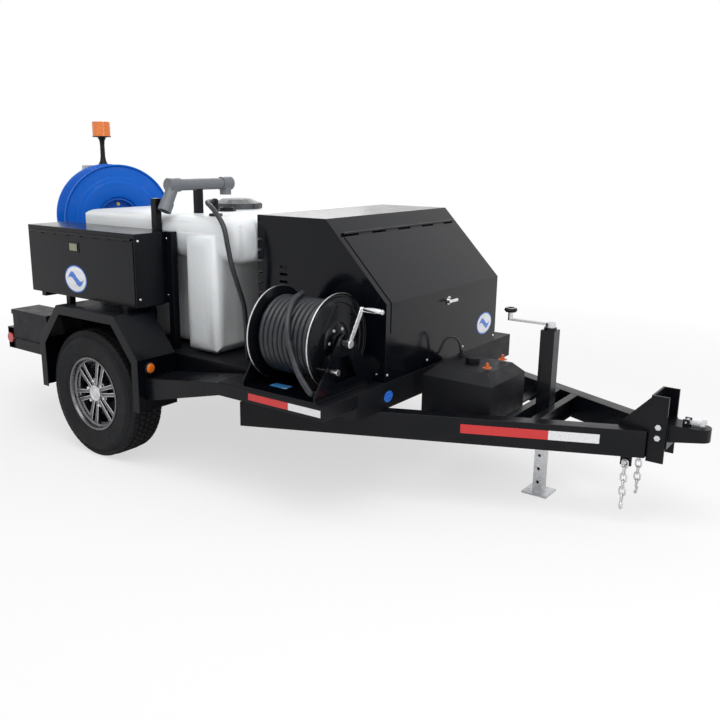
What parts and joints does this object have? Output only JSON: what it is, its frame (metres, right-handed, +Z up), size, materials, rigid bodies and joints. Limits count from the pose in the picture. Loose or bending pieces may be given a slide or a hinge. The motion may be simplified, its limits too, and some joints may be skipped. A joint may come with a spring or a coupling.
{
  "type": "trailer pressure washer",
  "caption": "Towed water jetter: single-axle trailer with water tank, engine and pump hood, fill hose reel, swivelling jetting hose reel, toolbox and drop-leg jack.",
  "frame": {"origin": "ground level under the middle of the overall box", "axes": "+X forward to the tow coupler, +Y to the left side, +Z up"},
  "size_m": [4.21, 2.2, 1.871],
  "materials": {
    "frame_black": "black gloss paint",
    "deck_black": "black textured deck paint",
    "fender_black": "black gloss powder coat",
    "hood_black": "high gloss black",
    "zinc": "zinc plated",
    "spring_steel": "satin black",
    "amber": "amber lens",
    "red_lens": "red lens",
    "poly_white": "natural polyethylene",
    "poly_black": "moulded black polyethylene",
    "pvc_grey": "grey PVC",
    "hose_rubber": "matt",
    "engine_metal": "cast housing",
    "brass": "machined brass",
    "tyre": "black rubber",
    "rim_alloy": "machined alloy",
    "reel_blue": "blue powder coat",
    "hose_blue": "blue jacket",
    "box_grey": "grey enclosure",
    "gear_grey": "grey paint",
    "reel_black": "black powder coat",
    "jack_black": "black paint"
  },
  "bodies": {
    "trailer": {"main_rails": "frame_black", "cross_members": "frame_black", "deck_plate": "deck_black", "deck_side_rails": "frame_black", "tongue_rails": "frame_black", "tongue_cross_members": "frame_black", "rear_bumper": "frame_black", "hitch_bracket": "frame_black", "coupler_body": "zinc", "coupler_bolts": "zinc", "safety_chains": "zinc", "axle_beam": "spring_steel", "leaf_springs": "spring_steel", "fenders": "fender_black", "marker_lamps": "amber", "tail_lamps": "red_lens", "toolbox_body": "fender_black", "toolbox_brackets": "frame_black", "water_tank": "poly_white", "tank_neck": "poly_black", "fill_pipe": "pvc_grey", "fill_pipe_posts": "frame_black", "vent_fitting": "poly_black", "vent_hose": "hose_rubber", "hood_shell": "hood_black", "engine": "engine_metal", "pump_body": "brass", "drive_belt": "hose_rubber", "fuel_tank": "poly_black", "fuel_line": "hose_rubber", "jack_tube": "jack_black", "supply_reel_stand": "reel_black", "supply_hose_tail": "hose_rubber", "hose_end_fitting": "brass", "turntable_base": "reel_black", "battery_box": "poly_black", "battery_lid": "poly_black"},
    "right_wheel": {"tyre_right": "tyre", "rim_right": "rim_alloy"},
    "left_wheel": {"tyre_left": "tyre", "rim_left": "rim_alloy"},
    "toolbox_flap": {"toolbox_door": "fender_black"},
    "toolbox_handle": {"toolbox_latch": "zinc"},
    "lid": {"tank_lid": "pvc_grey"},
    "hood_flap": {"hood_door": "hood_black"},
    "hood_handle": {"hood_latch": "zinc"},
    "supply_drum": {"supply_reel": "reel_black", "supply_hose_pack": "hose_rubber"},
    "supply_lock": {"reel_lock_pin": "zinc"},
    "swivel": {"reel_swivel_frame": "reel_black", "control_box": "box_grey", "beacon": "amber"},
    "jet_drum": {"jet_reel": "reel_blue", "jet_hose_pack": "hose_blue"},
    "leg": {"jack_leg": "zinc"},
    "crank": {"jack_crank": "gear_grey"},
    "filler_cap": {"fuel_cap": "poly_black"},
    "ball_latch": {"coupler_latch": "zinc"},
    "engine_drive": {"engine_pulley": "gear_grey"},
    "pump_drive": {"pump_pulley": "gear_grey"}
  },
  "joints": [
    {"name": "right_wheel_spin", "type": "hinge", "parent": "trailer", "child": "right_wheel", "pos_m": [-0.825, -0.975, 0.359], "axis": [0, 1, 0], "continuous": true},
    {"name": "left_wheel_spin", "type": "hinge", "parent": "trailer", "child": "left_wheel", "pos_m": [-0.825, 0.975, 0.359], "axis": [0, 1, 0], "continuous": true},
    {"name": "toolbox_door_hinge", "type": "hinge", "parent": "trailer", "child": "toolbox_flap", "pos_m": [-1.025, -0.967, 1.217], "axis": [-1, 0, 0], "range_deg": [0, 100]},
    {"name": "toolbox_latch_flap", "type": "hinge", "parent": "toolbox_flap", "child": "toolbox_handle", "pos_m": [-1.06, -0.9694, 1.164], "axis": [-1, 0, 0], "range_deg": [0, 30], "stiffness_Nm_per_rad": 0.05},
    {"name": "tank_lid_turn", "type": "hinge", "parent": "trailer", "child": "lid", "pos_m": [-0.725, 0, 1.34], "axis": [0, 0, 1], "range_deg": [0, 360]},
    {"name": "hood_door_hinge", "type": "hinge", "parent": "trailer", "child": "hood_flap", "pos_m": [0.49589, 0, 1.28562], "axis": [0, -1, 0], "range_deg": [0, 75]},
    {"name": "hood_latch_turn", "type": "hinge", "parent": "hood_flap", "child": "hood_handle", "pos_m": [0.779, 0, 0.92], "axis": [1, 0, 0], "range_deg": [0, 90]},
    {"name": "supply_reel_spin", "type": "hinge", "parent": "trailer", "child": "supply_drum", "pos_m": [0.505, -0.826, 0.833], "axis": [1, 0, 0], "continuous": true},
    {"name": "supply_reel_lock", "type": "slide", "parent": "trailer", "child": "supply_lock", "axis": [-1, 0, 0], "range_m": [0, 0.0045]},
    {"name": "jet_reel_swivel", "type": "hinge", "parent": "trailer", "child": "swivel", "pos_m": [-1.775, -0.13, 0.78], "axis": [0, 0, 1], "range_deg": [-55, 105]},
    {"name": "jet_reel_spin", "type": "hinge", "parent": "swivel", "child": "jet_drum", "pos_m": [-1.775, -0.13, 1.23], "axis": [0.9063, -0.4226, 0], "continuous": true},
    {"name": "jack_crank_turn", "type": "hinge", "parent": "trailer", "child": "crank", "pos_m": [1.345, 0, 0.85], "axis": [0, 0, 1], "range_deg": [0, 7200]},
    {"name": "jack_leg_slide", "type": "slide", "parent": "trailer", "child": "leg", "axis": [0, 0, 1], "range_m": [0, 0.254]},
    {"name": "fuel_cap_turn", "type": "hinge", "parent": "trailer", "child": "filler_cap", "pos_m": [1.005, -0.13, 0.655], "axis": [0, 0, 1], "range_deg": [0, 180]},
    {"name": "coupler_latch_lift", "type": "hinge", "parent": "trailer", "child": "ball_latch", "pos_m": [2.003, 0, 0.516], "axis": [0, -1, 0], "range_deg": [0, 60]},
    {"name": "engine_shaft_spin", "type": "hinge", "parent": "trailer", "child": "engine_drive", "pos_m": [0.295, -0.262, 0.79], "axis": [0, 1, 0], "continuous": true},
    {"name": "pump_shaft_spin", "type": "hinge", "parent": "trailer", "child": "pump_drive", "pos_m": [0.595, -0.262, 0.75], "axis": [0, 1, 0], "continuous": true}
  ],
  "couplings": [
    {"joint": "jack_leg_slide", "follows": "jack_crank_turn", "m_per_rad": 0.0020213},
    {"joint": "engine_shaft_spin", "follows": "pump_shaft_spin", "ratio": 1.75}
  ]
}
